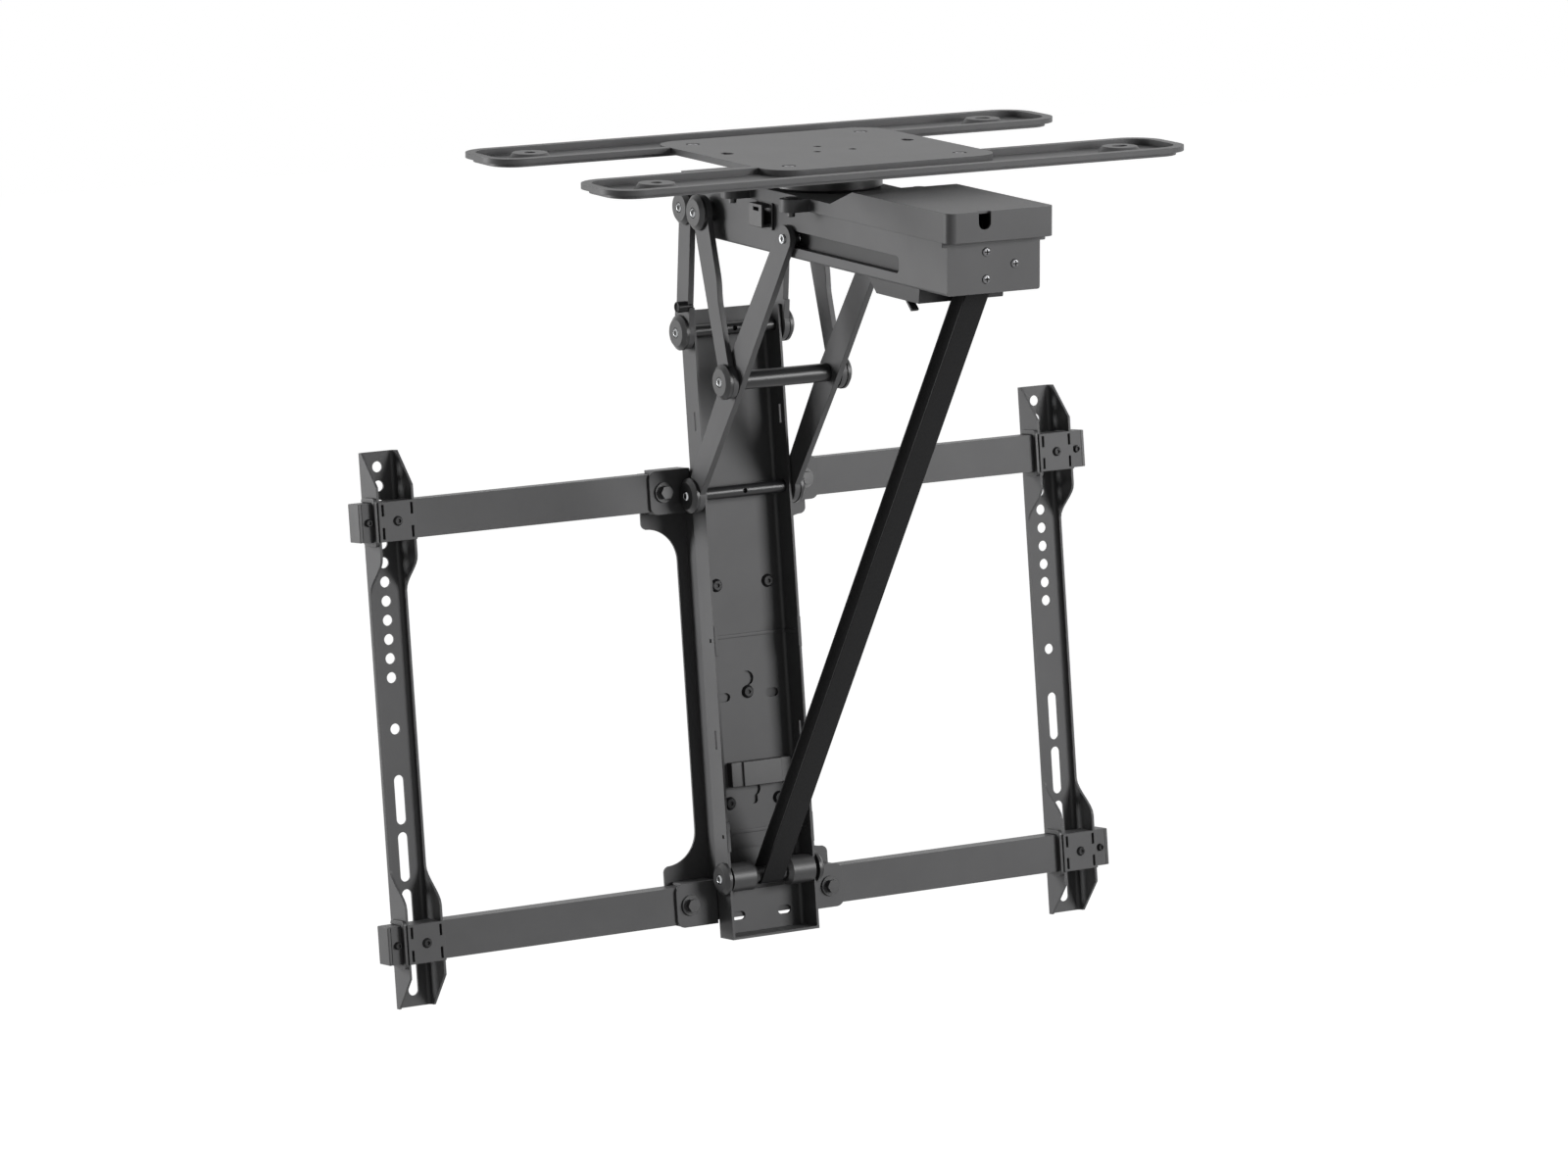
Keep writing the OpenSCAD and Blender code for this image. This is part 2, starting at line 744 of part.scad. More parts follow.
// Lever of the limit switch, hanging out of the control box
module limit_lever() color(steel) translate([lever_x, lever_top_y, -beam_drop - box_h + beam_t + gap]) {
    slab(-lever_w / 2, lever_w / 2) difference() {
        union() {
            circle(lever_eye_r);
            polygon([[0, lever_t], [-lever_reach - lever_t, -lever_drop],
                     [-lever_reach, -lever_drop - lever_t], [0, -lever_t / 2]]);
        }
        circle(half * lever_eye_r);
    }
}

// Motor with its gearbox, lying inside the beam
module gear_motor() color(steel)
    translate([gearbox_x0 + gearbox_w / 2, gearbox_y0 + gearbox_len + seat, motor_z]) rotate([-90, 0, 0]) {
        cylinder(r = motor_nose_r, h = motor_nose_len + seat);
        translate([0, 0, motor_nose_len]) cylinder(r = motor_r, h = motor_len);
    }

module worm_gearbox() color(coat) difference() {
    span([gearbox_x0, gearbox_y0, drum_z - gearbox_h / 2],
         [gearbox_x0 + gearbox_w, gearbox_y0 + gearbox_len, drum_z + gearbox_h / 2]);
    at([drum_y, drum_z]) rod(drum_shaft_r + run_fit, gearbox_x0 - cut, gearbox_x0 + gearbox_w - frame_t);
}

// Two cheeks that carry the drum, with the belt's guide bar and its anchor bar
module winch_frame() color(coat) {
    plate_y = -beam_front + beam_t + seat;
    difference() {
        union() {
            both() span([frame_in, plate_y, beam_t - beam_drop + seat],
                        [frame_in + frame_t, drum_y + drum_flange_r, drum_z + drum_flange_r]);
            span([-frame_in - frame_t, plate_y, beam_t - beam_drop + seat],
                 [front_plate_x, plate_y + frame_t, front_plate_top]);
        }
        at([drum_y, drum_z]) rod(drum_shaft_r + run_fit, -frame_in - frame_t - cut, frame_in + frame_t + cut);
        for (p = front_screw_places) translate([p[0], -beam_front, p[1]]) rotate([-90, 0, 0])
            cylinder(r = front_screw_r + run_fit, h = beam_t + 2 * frame_t);
    }
    at(guide_place) rod(guide_r, -frame_in - seat, frame_in + seat);
    at(anchor_place) rod(guide_r, -frame_in - seat, frame_in + seat);
}

// The belt meets the beam along two lines; the guide and anchor bars stand beside them
exit_mid = pulley + belt_len * belt_dir;
front_exit = exit_mid - strand_off * [cos(belt_angle), sin(belt_angle)] + inner_gap * belt_dir;
rear_exit = exit_mid + strand_off * [cos(belt_angle), sin(belt_angle)] + inner_gap * belt_dir;
bar_reach = guide_r + belt_t / 2 + seat;
guide_place = front_exit + guide_along * belt_dir + bar_reach * [cos(belt_angle), sin(belt_angle)];
anchor_place = rear_exit + anchor_along * belt_dir + bar_reach * [cos(belt_angle), sin(belt_angle)];
run_front_top = front_exit + run_up * belt_dir;
run_rear_top = rear_exit + run_up * belt_dir;
drum_mid = [drum_y, drum_z];
run_r = coil_r + seat + belt_t / 2;
run_far = norm(drum_mid - run_front_top);
run_turn = atan2((drum_mid - run_front_top)[1], (drum_mid - run_front_top)[0]) + asin(run_r / run_far);
drum_tangent = drum_mid + run_r * [-sin(run_turn), cos(run_turn)];

// Strip of belt between two [y, z] points
module strand(a, b) slab(-belt_w / 2, belt_w / 2) {
    d = norm(b - a);
    n = belt_t / 2 * [-(b - a)[1], (b - a)[0]] / d;
    polygon([a - n, b - n, b + n, a + n]);
}

module belt_inner_run() color(black) {
    strand(front_exit, run_front_top);
    slab(-belt_w / 2, belt_w / 2) translate(run_front_top) circle(belt_t / 2);
    strand(run_front_top, drum_tangent);
    strand(rear_exit, run_rear_top);
}

module winch_drum() color(black) at([drum_y, drum_z]) {
    both() rod(drum_flange_r, -drum_w / 2 - drum_flange_t, -drum_w / 2);
    rod(coil_r, -belt_w / 2, belt_w / 2);
    rod(drum_core_r, -drum_w / 2 - seat, drum_w / 2 + seat);
    rod(drum_shaft_r, -frame_in - frame_t, gearbox_x0 + gearbox_w - 2 * frame_t);
}

// Studs and caps that carry the upper ends of the links
module link_studs() color(black) both() {
    at(rear_top) {
        rod(pin_r, -link_out - gap - seat, -wall_in + link_t);
        pivot_cap(link_out + gap);
    }
    at(front_top) {
        rod(pin_r, -outer_out - gap - seat, -wall_in + link_t);
        rod(spacer_bush_r, -outer_in + gap, -half_w - seat);
        pivot_cap(outer_out + gap);
    }
}

// Tracks inside the beam that the rollers' inner ends run in
module roller_tracks() color(coat) both() {
    low = arm_tip[1] - slot_h / 2 - gap;
    high = arm_tip[1] + slot_h / 2 + gap;
    difference() {
        span([-wall_in + seat, -slot_front - track_end, low - track_t],
             [-track_in, -track_end, high + track_t]);
        span([-wall_in, -slot_front - track_end - cut, low], [-track_in - track_t, cut, high]);
    }
}

// Slider

module roller_axles() color(steel) at(arm_tip) both() {
    rod(axle_r, -half_w, -roller_in + seat);
    rod(axle_head_r, -roller_in + seat, -roller_in + seat + axle_head_t);
}

module slot_rollers() color(black) at(arm_tip) both() difference() {
    rod(roller_r, -half_w, -roller_in);
    rod(axle_r + run_fit, -half_w - cut, -roller_in + cut);
}

// Links

// Outline of a front link, with a smooth step in its front edge
module front_link_outline() {
    d = front_link_len;
    difference() {
        union() {
            circle(link_end_r);
            translate([d, 0]) circle(link_end_r);
            polygon(concat(
                [[0, -front_link_wide / 2]],
                [for (i = [0:curve_steps]) let (t = i / curve_steps)
                    [d * (notch_start_share + (notch_end_share - notch_start_share) * t),
                     -front_link_wide / 2 + ease(t) * notch_lip]],
                [[d, -front_link_narrow / 2], [d, front_link_narrow / 2], [0, front_link_wide / 2]]));
        }
        circle(pin_r + run_fit);
        translate([d, 0]) circle(pin_r + run_fit);
    }
}

module front_link(side) color(coat) at(front_top) rotate([-front_link_angle, 0, 0])
    slab(side < 0 ? -outer_out : outer_in, side < 0 ? -outer_in : outer_out) rotate(-90) front_link_outline();

module front_link_left() front_link(-1);
module front_link_right() front_link(1);

// Places an outline in the inner link layer on one side
module inner_layer(side) slab(side < 0 ? -link_out : link_in, side < 0 ? -link_in : link_out) children();

module lift_arm(side) color(coat) inner_layer(side) difference() {
    union() {
        taper_bar(arm_tip, arm_mid, arm_tip_r - seat, arm_mid_r - seat);
        taper_bar(arm_mid, arm_foot, arm_mid_r - 2 * seat, arm_lower_half);
        translate(arm_tip) circle(arm_tip_r);
        translate(arm_mid) circle(arm_mid_r);
        translate(arm_foot) circle(link_end_r);
    }
    translate(arm_mid) circle(pin_r + run_fit);
    translate(arm_foot) circle(pin_r + run_fit);
    translate(arm_tip) circle(screw_r + run_fit);
}

module lift_arm_left() lift_arm(-1);
module lift_arm_right() lift_arm(1);

module arm_cross_tube() color(black) at(arm_mid) difference() {
    rod(cross_tube_d / 2, seat - link_in, link_in - seat);
    rod(pin_r + run_fit, -link_in - cut, link_in + cut);
}

module arm_shaft() color(steel) at(arm_mid) rod(pin_r, -outer_out - gap, outer_out + gap);

module arm_caps() color(black) at(arm_mid) both() pivot_cap(outer_out + gap + seat);

module arm_tip_bolts() color(steel) at(arm_tip) both() {
    rod(screw_r, -link_out - tip_bolt_out, -link_in);
    difference() {
        rod(button_r, -link_out - tip_bolt_out - seat, -link_out - seat);
        rod(socket_r, -link_out - tip_bolt_out - cut, -link_out - seat - half * tip_bolt_out);
    }
}

module rear_link(side) color(coat) inner_layer(side) difference() {
    union() {
        taper_bar(rear_top, rear_foot, link_waist / 2, link_waist / 2);
        taper_bar(stop_point, rear_foot, link_wide / 2 - gap, link_wide / 2);
        translate(rear_top) circle(link_end_r);
        translate(rear_foot) circle(link_end_r);
    }
    translate(rear_top) circle(pin_r + run_fit);
    translate(rear_foot) circle(screw_r + run_fit);
    if (side < 0) translate(stop_point + [stop_y, 0]) circle(screw_r + run_fit);
}
stop_point = rear_top + stop_down / norm(rear_foot - rear_top) * (rear_foot - rear_top);

module rear_link_left() rear_link(-1);
module rear_link_right() rear_link(1);

module rear_link_caps() color(black) at(rear_foot) both() {
    pivot_cap(link_out + seat);
    rod(screw_r, -link_out - 2 * seat, -link_in);
}

// Stop on the left rear link
module stop_bolt() color(black) at(stop_point + [stop_y, 0]) {
    rod(screw_r, -link_out - 2 * seat, -link_in);
    difference() {
        rod(stop_r, -link_out - stop_len, -link_out - seat);
        rod(socket_r + screw_r / 2, -link_out - stop_len - cut, -link_out - stop_len + socket_deep);
    }
}

// Column

module web_openings() {
    translate([0, upper_key_z]) circle(keyhole_head_r);
    translate([0, lower_key_z]) circle(keyhole_head_r);
    translate([-half * keyhole_head_r, lower_key_z - key_drop]) square([keyhole_head_r, key_drop]);
    translate([0, lower_key_z - key_drop]) circle(half * keyhole_head_r);
    for (s = [-1, 1]) {
        translate([s * web_slot_x, web_slot_z]) obround(web_slot_len, web_slot_w);
        translate([s * foot_slot_x, foot_slot_z]) obround(web_slot_len, web_slot_w);
    }
    translate([-window_w / 2, window_bottom]) square([window_w, window_top - window_bottom]);
    for (p = web_screws) translate(p) circle(screw_r + run_fit);
}

module column_channel() color(coat) on_column() difference() {
    union() {
        translate([0, 0, -column_down]) linear_extrude(column_up + column_down)
            channel(column_w, -column_front, column_rear, column_t, column_bend_r);
        span([column_t - column_w / 2 - seat, -column_front, -column_down],
             [column_w / 2 - column_t + seat, web_front + seat, column_t - column_down]);
    }
    sheet(web_front - cut, column_rear + cut) web_openings();
    rod(pin_r + run_fit, -column_w, column_w);
    at([0, top_pivot_up]) rod(pin_r + run_fit, -column_w, column_w);
    at([-pulley_forward, -pulley_down]) rod(pin_r + run_fit, -column_w, column_w);
    for (z = flange_slots) span([-column_w, -flange_slot_w / 2 - column_t, z - flange_slot_len / 2],
                                [column_w, flange_slot_w / 2 - column_t, z + flange_slot_len / 2]);
    for (z = joint_z) span([-column_w, square_y - square_hole / 2, z - square_hole / 2],
                           [column_w, square_y + square_hole / 2, z + square_hole / 2]);
    translate([foot_hole_x, 0, -column_down - cut]) cylinder(r = foot_hole_r, h = column_t + 2 * cut);
}

// Cover strips over the column's two seams, with clips on the flanges' edges
module column_strips() color(coat) on_column() for (z = joint_z) translate([0, 0, z]) {
    edge = column_t + seat - column_w / 2;
    translate([0, 0, -strip_h / 2]) linear_extrude(strip_h)
        channel(-2 * edge, seat - column_front, web_front - seat, strip_t, column_bend_r - column_t / 2);
    both() {
        span([edge, -column_front - strip_t - seat, -tab_h / 2],
             [edge + strip_t, tab_in - column_front, tab_h / 2]);
        span([-column_w / 2, -column_front - strip_t - seat, -tab_h / 2],
             [edge + strip_t, -column_front - seat, tab_h / 2]);
    }
}

// Stepped block that holds the cable against the web
module column_clip() color(black) on_column() {
    a = clip_block[0];
    b = clip_block[1];
    span([a[0], web_front - clip_block_out + clip_step, a[1]], [b[0], web_front - seat, b[1]]);
    span([a[0] + clip_inset, web_front - clip_block_out, a[1]],
         [b[0] - clip_inset, web_front - clip_step, b[1]]);
}

module column_screws() color(black) on_column() for (p = web_screws)
    translate([p[0], web_front - seat, p[1]]) rotate([90, 0, 0])
        pan_screw(screw_r, pan_head_r, pan_head_t, column_t + 2 * seat + spine_t);

// Hat section with its lips and the ears that back the crossbars
module spine_plate() difference() {
    union() {
        translate([0, (bar_up + bar_low) / 2]) square([lip_w, bar_span + bar_h], center = true);
        for (z = [bar_up, bar_low]) translate([0, z]) {
            square([ear_w, bar_h], center = true);
            s = z == bar_up ? -1 : 1;
            translate([0, s * (bar_h / 2 + ear_drop / 2 - ear_corner_r / 2)])
                round_rect(ear_w, ear_drop + ear_corner_r, ear_corner_r);
            difference() {
                translate([-lip_w / 2 - ear_arc_r, s > 0 ? bar_h / 2 : -bar_h / 2 - ear_drop - ear_arc_r])
                    square([lip_w + 2 * ear_arc_r, ear_drop + ear_arc_r]);
                for (x = [-1, 1])
                    translate([x * (lip_w / 2 + ear_arc_r), s * (bar_h / 2 + ear_drop + ear_arc_r)])
                        circle(ear_arc_r);
            }
        }
    }
    for (z = [bar_up, bar_low], x = [-1, 1]) translate([x * clamp_x, z]) circle(screw_r + run_fit);
}

module spine() color(coat) on_column() difference() {
    hat_low = bar_low + bar_h / 2 + gap;
    hat_h = bar_span - bar_h - 2 * gap;
    hat_in = spine_w - 2 * spine_t;
    union() {
        translate([0, bar_back + seat, 0]) sheet(0, spine_t) spine_plate();
        translate([0, 0, hat_low]) linear_extrude(hat_h) difference() {
            translate([-spine_w / 2, spine_front]) square([spine_w, bar_back + 2 * seat - spine_front]);
            translate([-hat_in / 2, spine_front + spine_t]) square([hat_in, bar_d]);
        }
    }
    translate([-hat_in / 2, spine_front + spine_t, hat_low + ear_drop])
        cube([hat_in, bar_d + spine_t + cut, hat_h - 2 * ear_drop]);
    for (p = web_screws) translate([p[0], spine_front - cut, p[1]]) rotate([-90, 0, 0])
        cylinder(r = screw_r + run_fit, h = spine_t + 2 * cut);
}

module top_shaft() color(black) on_column() at([0, top_pivot_up]) difference() {
    rod(pin_r, -link_in + gap, link_in - gap);
    translate([0, -pin_r - cut, 0]) rotate([-90, 0, 0]) cylinder(r = set_screw_r, h = pin_r);
}

module middle_shaft() color(black) on_column() difference() {
    rod(pin_r, -link_out - gap, link_out + gap);
    translate([0, -pin_r - cut, 0]) rotate([-90, 0, 0]) cylinder(r = set_screw_r, h = pin_r);
}

module pulley_shaft() color(black) on_column() at([-pulley_forward, -pulley_down])
    rod(pin_r, -column_w / 2 - gap, column_w / 2 + gap);

module column_caps() color(black) on_column() both() {
    pivot_cap(link_out + gap + seat);
    at([-pulley_forward, -pulley_down]) pivot_cap(column_w / 2 + gap + seat, pulley_cap_d);
}

module shaft_spacers() color(black) on_column() at([-pulley_forward, -pulley_down]) both() difference() {
    union() {
        rod(spacer_r, seat + column_t - column_w / 2, -spacer_in - spacer_chamfer);
        rod(spacer_r, -spacer_in - spacer_chamfer - seat, -spacer_in, spacer_r - spacer_chamfer);
    }
    rod(pin_r + run_fit, -column_w, 0);
}

module belt_sleeve() color(black) on_column() at([-pulley_forward, -pulley_down]) difference() {
    rod(sleeve_r, seat - spacer_in, spacer_in - seat);
    rod(pin_r + run_fit, -spacer_in - cut, spacer_in + cut);
}

module crossbar(z) color(coat) on_column() difference() {
    span([-bar_len / 2, bar_front, z - bar_h / 2], [bar_len / 2, bar_back, z + bar_h / 2]);
    span([-bar_len / 2 - cut, bar_front + bar_t, z + bar_t - bar_h / 2],
         [bar_len / 2 + cut, bar_back - bar_t, z + bar_h / 2 - bar_t]);
    both() translate([clamp_x, bar_front - cut, z]) rotate([-90, 0, 0])
        cylinder(r = screw_r + run_fit, h = bar_d + 2 * cut);
    both() translate([stop_screw_x, bar_front - cut, z]) rotate([-90, 0, 0])
        cylinder(r = screw_r + run_fit, h = bar_t + 2 * cut);
}

module crossbar_upper() crossbar(bar_up);
module crossbar_lower() crossbar(bar_low);

// Plates that wrap the crossbars beside the column
module clamp_plates() color(coat) on_column() for (z = [bar_up, bar_low]) both() {
    clamp_w = clamp_out - clamp_in;
    clamp_h = bar_h + 2 * clamp_t + 2 * seat;
    difference() {
        sheet(bar_front - clamp_t - seat, bar_front - seat) difference() {
            translate([-(clamp_in + clamp_out) / 2, z]) {
                round_rect(clamp_w, clamp_h, clamp_corner_r);
                translate([0, -clamp_h / 2]) square([clamp_w / 2, clamp_h]);
            }
            translate([-clamp_x, z]) circle(screw_r + run_fit);
        }
        rod(cap_d / 2 + gap, -outer_out - cap_t, -link_in + gap);
    }
    for (low = [z - clamp_h / 2, z + clamp_h / 2 - clamp_t])
        translate([clamp_corner_r - clamp_out, bar_front - 2 * seat, low])
            cube([clamp_w - clamp_corner_r, bar_d + seat, clamp_t]);
}

module clamp_bolts() color(steel) on_column() for (x = [-1, 1], z = [bar_up, bar_low])
    translate([x * clamp_x, bar_front - clamp_t - 2 * seat, z]) {
        grip = bar_d + clamp_t + spine_t + 4 * seat;
        rotate([90, 0, 0]) hex_bolt(screw_r, grip);
        translate([0, grip, 0]) rotate([-90, 0, 0]) cylinder(r = nut_r, h = nut_t, $fn = 6);
    }

module bar_end_caps() color(black) on_column() for (z = [bar_up, bar_low]) both() {
    inner = bar_t + seat;
    span([-bar_len / 2 - end_cap_t, bar_front, z - bar_h / 2],
         [-bar_len / 2 - seat, bar_back, z + bar_h / 2]);
    span([-bar_len / 2 - 2 * seat, bar_front + inner, z - bar_h / 2 + inner],
         [-stop_screw_x - screw_r - gap, bar_back - inner, z + bar_h / 2 - inner]);
}

module bar_stop_screws() color(black) on_column() for (x = [-1, 1], z = [bar_up, bar_low])
    translate([x * stop_screw_x, bar_front - seat, z]) rotate([90, 0, 0])
        pan_screw(screw_r, stop_head_r, pan_head_t, 2 * bar_t);

// Belt

module lift_belt() color(black) at(pulley) rotate([belt_angle, 0, 0]) slab(-belt_w / 2, belt_w / 2) {
    difference() {
        circle(strand_off + belt_t / 2);
        circle(strand_off - belt_t / 2);
        translate([-2 * strand_off, 0]) square([4 * strand_off, 2 * strand_off]);
    }
    for (s = [-1, 1]) translate([s * strand_off - belt_t / 2, -seat]) square([belt_t, belt_len + seat]);
}

// Television brackets

// Depth of a bracket's flange at a distance down from its end
function flange_depth(d) =
    d < tip_len ? bracket_shallow + (bracket_deep - bracket_shallow) * d / tip_len
    : d < wide_end ? bracket_deep
    : d < wide_end + curve_len
        ? bracket_deep - (bracket_deep - bracket_shallow) * ease((d - wide_end) / curve_len)
    : bracket_shallow;

bracket_steps = concat([0, tip_len],
    [for (i = [0:curve_steps]) wide_end + curve_len * i / curve_steps]);

module flange_outline() polygon(concat(
    [[bracket_back, bracket_up]],
    [for (d = bracket_steps) [bracket_back - flange_depth(d), bracket_up - d]],
    [for (i = [len(bracket_steps) - 1:-1:0]) let (d = bracket_steps[i])
        [bracket_back - flange_depth(d), bracket_up - bracket_len + d]],
    [[bracket_back, bracket_up - bracket_len]]));

module bracket(x) color(coat) on_column() difference() {
    intersection() {
        translate([x, 0, bracket_up - bracket_len]) linear_extrude(bracket_len)
            channel(bracket_w, bracket_back - bracket_deep - cut, bracket_back, bracket_t, 2 * bracket_t);
        slab(x - bracket_w / 2 - cut, x + bracket_w / 2 + cut) flange_outline();
    }
    for (z = [bar_up, bar_low]) span([x - bracket_w, bar_front - gap, z - bar_h / 2 - gap],
                                     [x + bracket_w, bar_back + gap, z + bar_h / 2 + gap]);
    for (i = [0:web_holes - 1]) web_hole(x, bracket_up - top_hole_down - i * hole_pitch);
    web_hole(x, bracket_up - top_hole_down - lone_hole);
    translate([x, 0, 0]) sheet(bracket_back - bracket_t - cut, bracket_back + cut)
        for (d = slot_places) translate([0, bracket_up - d]) rotate(90) obround(slot_len, vesa_hole_d);
}

module web_hole(x, z) translate([x, bracket_back - bracket_t - cut, z]) rotate([-90, 0, 0])
    cylinder(d = vesa_hole_d, h = bracket_t + 2 * cut);

module bracket_left() bracket(-vesa_w / 2);
module bracket_right() bracket(vesa_w / 2);

// Plates across the front of a bracket that press on the crossbars
module saddles(x) color(coat) on_column() for (z = [bar_up, bar_low]) {
    y1 = bracket_back - bracket_deep - seat;
    translate([x, 0, z]) sheet(y1 - saddle_t, y1) difference() {
        square([bracket_w, saddle_h], center = true);
        circle(screw_r + run_fit);
        for (sx = [-1, 1], sz = [-1, 1])
            translate([sx * slit_x, sz * slit_z]) square([slit_w, slit_h], center = true);
    }
}

module saddles_left() saddles(-vesa_w / 2);
module saddles_right() saddles(vesa_w / 2);

module bracket_screws(x) color(black) on_column() for (z = [bar_up, bar_low])
    translate([x, bracket_back - bracket_deep - saddle_t - 2 * seat, z]) rotate([90, 0, 0])
        pan_screw(screw_r, small_head_r, small_head_t,
                  bar_front - bracket_back + bracket_deep + saddle_t - 2 * seat);

module bracket_screws_left() bracket_screws(-vesa_w / 2);
module bracket_screws_right() bracket_screws(vesa_w / 2);

// Rubbing pieces that ride the crossbars on the bracket's left side
module inserts(x) color(black) on_column() for (z = [bar_up, bar_low]) {
    x1 = x - bracket_w / 2 - seat;
    slab(x1 - insert_t, x1) translate([0, z]) difference() {
        translate([(insert_front + insert_back) / 2, 0])
            round_rect(insert_back - insert_front, 2 * insert_out, insert_r);
        translate([bar_front - gap, -bar_h / 2 - gap]) square([bar_d + 2 * insert_back, bar_h + 2 * gap]);
    }
}

module inserts_left() inserts(-vesa_w / 2);
module inserts_right() inserts(vesa_w / 2);

ceiling_plate();
rail_front();
rail_rear();
plate_screws();
swivel_post();
swivel_plate();
swivel_bolts();
beam_lid();
beam_channel();
front_screws();
side_clip();
control_box();
gear_motor();
worm_gearbox();
winch_frame();
belt_inner_run();
link_studs();
winch_drum();
limit_lever();
roller_tracks();
roller_axles();
slot_rollers();
front_link_left();
front_link_right();
lift_arm_left();
lift_arm_right();
arm_cross_tube();
arm_shaft();
arm_caps();
arm_tip_bolts();
rear_link_left();
rear_link_right();
rear_link_caps();
stop_bolt();
column_channel();
column_strips();
column_clip();
column_screws();
spine();
top_shaft();
middle_shaft();
column_caps();
pulley_shaft();
shaft_spacers();
belt_sleeve();
crossbar_upper();
crossbar_lower();
clamp_plates();
clamp_bolts();
bar_end_caps();
bar_stop_screws();
lift_belt();
bracket_left();
bracket_right();
saddles_left();
saddles_right();
inserts_left();
inserts_right();
bracket_screws_left();
bracket_screws_right();
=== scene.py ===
"""Looks for a motorised ceiling mount that folds a television up against the ceiling.

X runs along the ceiling rails, +Y points to the television side and +Z is up. The scene is
in metres. The sizes of the added pieces are in millimetres, and MM scales them.
"""

import math

import bmesh
import bpy
from mathutils import Matrix, Vector

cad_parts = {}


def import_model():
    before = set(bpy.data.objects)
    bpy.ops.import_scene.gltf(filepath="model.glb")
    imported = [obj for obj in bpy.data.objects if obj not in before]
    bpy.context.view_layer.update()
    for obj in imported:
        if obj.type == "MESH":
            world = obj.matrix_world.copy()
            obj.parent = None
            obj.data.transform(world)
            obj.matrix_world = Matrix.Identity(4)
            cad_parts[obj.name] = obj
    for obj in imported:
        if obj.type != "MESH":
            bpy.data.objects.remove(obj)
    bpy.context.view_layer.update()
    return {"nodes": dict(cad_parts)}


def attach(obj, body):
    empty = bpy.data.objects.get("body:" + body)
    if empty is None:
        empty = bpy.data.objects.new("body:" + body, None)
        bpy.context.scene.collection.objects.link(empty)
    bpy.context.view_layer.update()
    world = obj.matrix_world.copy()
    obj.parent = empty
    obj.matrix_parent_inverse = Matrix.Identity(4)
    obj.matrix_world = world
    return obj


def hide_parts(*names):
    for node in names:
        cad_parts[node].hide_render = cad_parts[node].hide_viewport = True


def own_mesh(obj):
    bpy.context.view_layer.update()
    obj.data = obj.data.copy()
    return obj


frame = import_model()

MM = 0.001
SIDES = (-1, 1)

# The linkage's pivots as (y, z), as in the part's source
FRONT_TOP = (109.3, -59.0)
REAR_TOP = (142.2, -59.0)
ARM_MID = (68.377, -187.228)
ARM_TIP = (-13.992, -65.111)
ARM_FOOT = (133.612, -288.067)

# The column's lean, and two of its pivots in its own frame, seen from the arms' foot
TILT = math.radians(6.9)
REAR_FOOT_ON_COLUMN = (0, 129.3)
PULLEY_ON_COLUMN = (-3, -306.6)


def column_point(y, z):
    """Turns a point (y, z) of the column's own frame into the row frame."""
    c, s = math.cos(TILT), math.sin(TILT)
    return (ARM_FOOT[0] + y * c + z * s, ARM_FOOT[1] - y * s + z * c)


REAR_FOOT = column_point(*REAR_FOOT_ON_COLUMN)
PULLEY = column_point(*PULLEY_ON_COLUMN)


# Camera

# Solved from the photograph: angles in degrees, focal length and width in pixels, and the
# way to the frame's origin along the camera's right, up and back
CAMERA_AZ, CAMERA_EL, CAMERA_ROLL = -29.60, 11.21, -0.24
CAMERA_FOCAL = 6671.8
PHOTO_WIDTH = 1600
CAMERA_OFFSET = (31.75, 336.62, 5004.91)
CAMERA_OFFSET_SCALE = 1.00365
SENSOR_WIDTH = 36
CLIP_NEAR, CLIP_FAR = 0.1, 60


def make_camera():
    """The photograph's camera."""
    az, el, roll = (math.radians(a) for a in (CAMERA_AZ, CAMERA_EL, CAMERA_ROLL))
    offset = Vector(CAMERA_OFFSET) * CAMERA_OFFSET_SCALE
    back = Vector((math.sin(az) * math.cos(el), -math.cos(az) * math.cos(el), math.sin(el)))
    side = Vector((math.cos(az), math.sin(az), 0))
    up = back.cross(side)
    right = math.cos(roll) * side + math.sin(roll) * up
    up = math.cos(roll) * up - math.sin(roll) * side
    place = -(offset.x * right + offset.y * up - offset.z * back) * MM
    data = bpy.data.cameras.new("camera")
    data.sensor_width = SENSOR_WIDTH
    data.lens = CAMERA_FOCAL / PHOTO_WIDTH * SENSOR_WIDTH
    data.clip_start = CLIP_NEAR
    data.clip_end = CLIP_FAR
    camera = bpy.data.objects.new("camera", data)
    turn = Matrix((right, up, back)).transposed()
    camera.matrix_world = Matrix.Translation(place) @ turn.to_4x4()
    bpy.context.collection.objects.link(camera)
    bpy.context.scene.camera = camera


make_camera()


# Materials

NOISE_ROUGHNESS = 0.55
# Shares of a noise texture's range: where its values mostly lie, and where a tint ends
NOISE_MIDDLE = (0.3, 0.7)
TINT_STOPS = (0.32, 0.68)
BELT_ANGLE = math.radians(31.4)


def new_material(name):
    """A material with its nodes, its links and its shader."""
    mat = bpy.data.materials.new(name)
    mat.use_nodes = True
    tree = mat.node_tree
    return mat, tree.nodes, tree.links, tree.nodes["Principled BSDF"]


def noise(nodes, links, scale, detail):
    """A noise texture over the object's own coordinates, its scale in waves per metre."""
    coord = nodes.new("ShaderNodeTexCoord")
    texture = nodes.new("ShaderNodeTexNoise")
    texture.inputs["Scale"].default_value = scale
    texture.inputs["Detail"].default_value = detail
    texture.inputs["Roughness"].default_value = NOISE_ROUGHNESS
    links.new(coord.outputs["Object"], texture.inputs["Vector"])
    return texture.outputs["Fac"]


